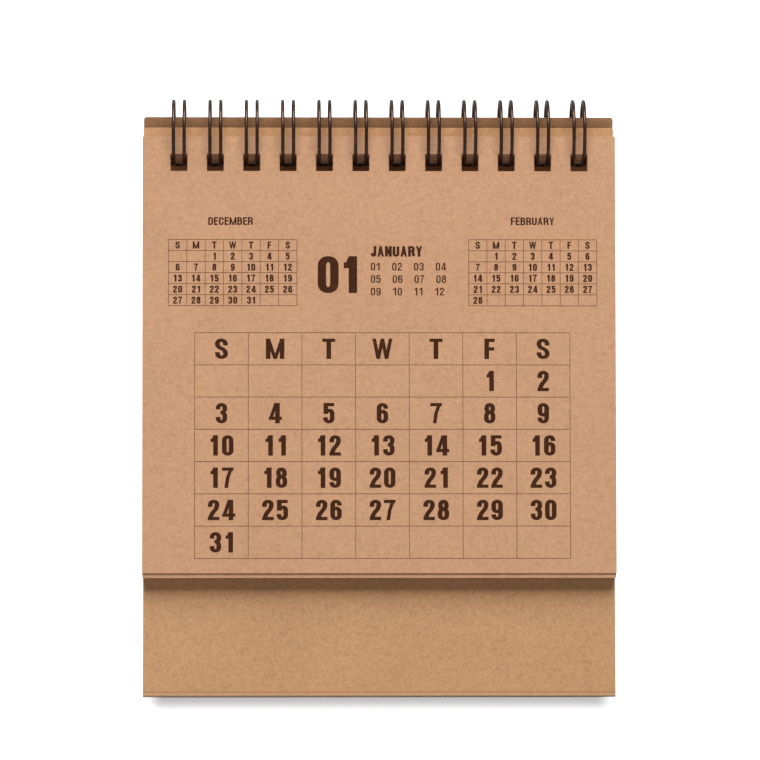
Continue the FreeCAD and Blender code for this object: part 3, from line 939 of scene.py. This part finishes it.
# %% A page of print
LARGE_CELL = Vector((12.45, 7.49)) * MM
SMALL_CELL = Vector((4.26, 2.57)) * MM
LARGE_LEFT, LARGE_DOWN, LARGE_TALL = 12.14 * MM, 45.85 * MM, 4.72 * MM
SMALL_DOWN, SMALL_TALL, NAME_DOWN, NAME_TALL = 24.15 * MM, 1.66 * MM, 20.72 * MM, 1.80 * MM
NUMBER_LEFT, NUMBER_DOWN, NUMBER_TALL = 40.7 * MM, 36.6 * MM, 8.6 * MM
TITLE_LEFT, TITLE_DOWN, TITLE_TALL = 53.05 * MM, 28.1 * MM, 2.45 * MM
INDEX_DOWN, INDEX_STEP, INDEX_TALL = 31.35 * MM, 2.9 * MM, 1.8 * MM


def set_page(month, before, after, body, out, hang):
    """The print of one sheet: figures as one piece, rulings as another, on the sheet's face."""
    pen = Pen()
    rulings = [set_table(pen, month, PAGE_LEFT + LARGE_LEFT, LARGE_DOWN, LARGE_CELL, 7, LARGE_TALL, BOLD)]
    for other, left, centre in ((before, 6.05 * MM, 3.38), (after, 75.8 * MM, 3.5)):
        left += PAGE_LEFT
        rulings.append(set_table(pen, other, left, SMALL_DOWN, SMALL_CELL, 6, SMALL_TALL, SMALL))
        middle = left + centre * SMALL_CELL.x
        pen.write(MONTHS[other][0], middle, SHEET_MARGIN - NAME_DOWN, NAME_TALL, NAME, 0.10)
    left = PAGE_LEFT + NUMBER_LEFT
    pen.write(f"{month:02d}", left, SHEET_MARGIN - NUMBER_DOWN, NUMBER_TALL, HEAVY, 0.06, False)
    left = PAGE_LEFT + TITLE_LEFT
    pen.write(MONTHS[month][0], left, SHEET_MARGIN - TITLE_DOWN, TITLE_TALL, TITLE, 0.08, False)
    for row in range(3):
        index = "  ".join(f"{row * 4 + number:02d}" for number in range(1, 5))
        pen.write(index, left, SHEET_MARGIN - INDEX_DOWN - row * INDEX_STEP, INDEX_TALL, LIGHT, 0.14, False)

    lines = bmesh.new()
    for ruling in rulings:
        lines.from_mesh(ruling.data)
        bpy.data.objects.remove(ruling)
    for kind, flat, finish in (("figures", pen.mesh, figure_ink), ("rulings", lines, rule_ink)):
        piece = printed(flat, f"{kind}_{MONTHS[month][0].lower()}", finish, lean_matrix(out, hang))
        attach(piece, body)
        print(piece.name, "has", len(piece.data.polygons), "faces and rides on", body)


set_page(1, 12, 2, "front_sheet", FRONT_SHEET_BACK + PAPER, front_hang)
next_face = PILE_BACK + (SHEETS_BEHIND - 1) * PAPER + PILE_SHEET
set_page(2, 1, 3, "stand", next_face, PILE_FOOT + SHEET_HEIGHT - SHEET_MARGIN)

# %% [markdown]
# ## Floor and light
# The calendar stands on a wide pale floor under a large soft lamp, high above and a little in front. The
# lamp sees the pages at a slant, so the loops, the lower edge of the pages and the holes keep their dark
# soft shadows, and the floor throws a little light back into them. A weaker lamp, low behind, lights the
# back board. It is kept out of reflections, or the wire would flash white against the backdrop and in
# the holes. A white backdrop must not come from more light: instead the floor and the world add their
# white to rays from the camera. Close to the foot the floor adds less of it, which paints a soft shadow
# in front of and behind the stand, over the little shade that it really casts, fading out towards the
# corners. Of the two, reflections see only the world's, at two fifths.

# %% The floor
# The painted shadow at the foot: how far inside the board's sides it starts to fade, how much faster it fades
# beside the stand, and how far it reaches.
TAPER = 5 * MM
SIDE_PULL = 3.0
SHADE_REACH, FLOOR_WHITE = 21 * MM, 0.95


def studio_floor():
    """A pale floor that takes shadows and shows white to the camera, with a painted shadow at the foot."""
    ground = Finish("studio_floor")
    seen = ground.node("ShaderNodeLightPath")
    beside = (ground.here().part(0).math("ABSOLUTE") - (BOARD_WIDTH / 2 - TAPER)).math("MAXIMUM", 0.0)
    before = (ground.here().part(1).math("ABSOLUTE") - BASE_DEPTH / 2).math("MAXIMUM", 0.0)
    beside = beside * SIDE_PULL
    distance = (beside * beside + before * before).math("SQRT")
    grain = ground.noise(300, 2)
    shade = ground.mix(grain, (0.365, 0.37, 0.38, 1), (0.385, 0.39, 0.40, 1))
    matt = ground.node("ShaderNodeBsdfDiffuse", None, {"Color": shade})
    # painted shadow: the camera's white is held back near the foot, so the floor there shows darker than its
    # light makes it
    white = distance.ramp(0.0, SHADE_REACH) * FLOOR_WHITE
    glow = ground.node("ShaderNodeEmission", None, {"Color": (1, 1, 1, 1), "Strength": seen * white})
    both = ground.node("ShaderNodeAddShader", None, {0: matt, 1: glow})
    ground.feed(ground.tree.nodes["Material Output"].inputs["Surface"], both)
    return ground.material


FLOOR_HALF, FLOOR_DROP = 4.0, 0.03 * MM
floor_mesh = bpy.data.meshes.new("floor")
corners = [(x * FLOOR_HALF, y * FLOOR_HALF, -FLOOR_DROP) for x, y in ((-1, -1), (1, -1), (1, 1), (-1, 1))]
floor_mesh.from_pydata(corners, [], [(0, 1, 2, 3)])
floor_mesh.materials.append(studio_floor())
floor = add_object("floor", floor_mesh)
print("floor:", 2 * FLOOR_HALF, "m square")


# %% The world and the lamps
def white_world(fill, mirrored=0.4):
    """White where the camera looks, paler in reflections, and a weak white as fill light."""
    world = bpy.data.worlds.new("studio")
    world.use_nodes = True
    bpy.context.scene.world = world
    sky = Nodes(world.node_tree)
    paths = sky.node("ShaderNodeLightPath")
    seen = paths + paths.other("Is Glossy Ray") * mirrored
    background = world.node_tree.nodes["Background"]
    background.inputs["Color"].default_value = (1, 1, 1, 1)
    sky.feed(background.inputs["Strength"], seen * (1 - fill) + fill)


def soft_lamp(name, place, target, size, power, glints=True):
    """A large square lamp that looks at a point; without glints it isn't seen in reflections."""
    light = bpy.data.lights.new(name, "AREA")
    light.size, light.energy = size, power
    lamp = add_object(name, light)
    lamp.location = place
    lamp.visible_glossy = glints
    lamp.rotation_euler = (Vector(target) - Vector(place)).to_track_quat("-Z", "Y").to_euler()


white_world(0.04)
soft_lamp("overhead_lamp", (0.10, -0.65, 1.93), (0, -0.02, 0.06), size=1.38, power=59.0)
soft_lamp("back_lamp", (-0.25, 1.5, 0.75), (0, 0.02, 0.06), size=0.9, power=18.0, glints=False)
bpy.context.scene.view_settings.view_transform = "Standard"

# %% [markdown]
# ## Camera
# The calendar is seen from the front, a little from above and a hair from the left, through a long lens
# that keeps its sides nearly parallel. A quarter of a degree of roll levels the foot in the view.

# %% The camera
DISTANCE, ELEVATION, AZIMUTH, ROLL = 1.3, math.radians(11), math.radians(-1.3), math.radians(0.263)
AIM = Vector((0.0005, 0, 0.06895))
lens = bpy.data.cameras.new("camera")
lens.lens, lens.sensor_width = 262.1, 36
camera = add_object("camera", lens)
away = Vector((math.sin(AZIMUTH) * math.cos(ELEVATION), -math.cos(AZIMUTH) * math.cos(ELEVATION),
               math.sin(ELEVATION)))
camera.location = AIM + away * DISTANCE
level = (-away).to_track_quat("-Z", "Y").to_matrix()
camera.rotation_euler = (level @ Matrix.Rotation(ROLL, 3, "Z")).to_euler()
bpy.context.scene.camera = camera
print("camera stands at", [round(c, 3) for c in camera.location])
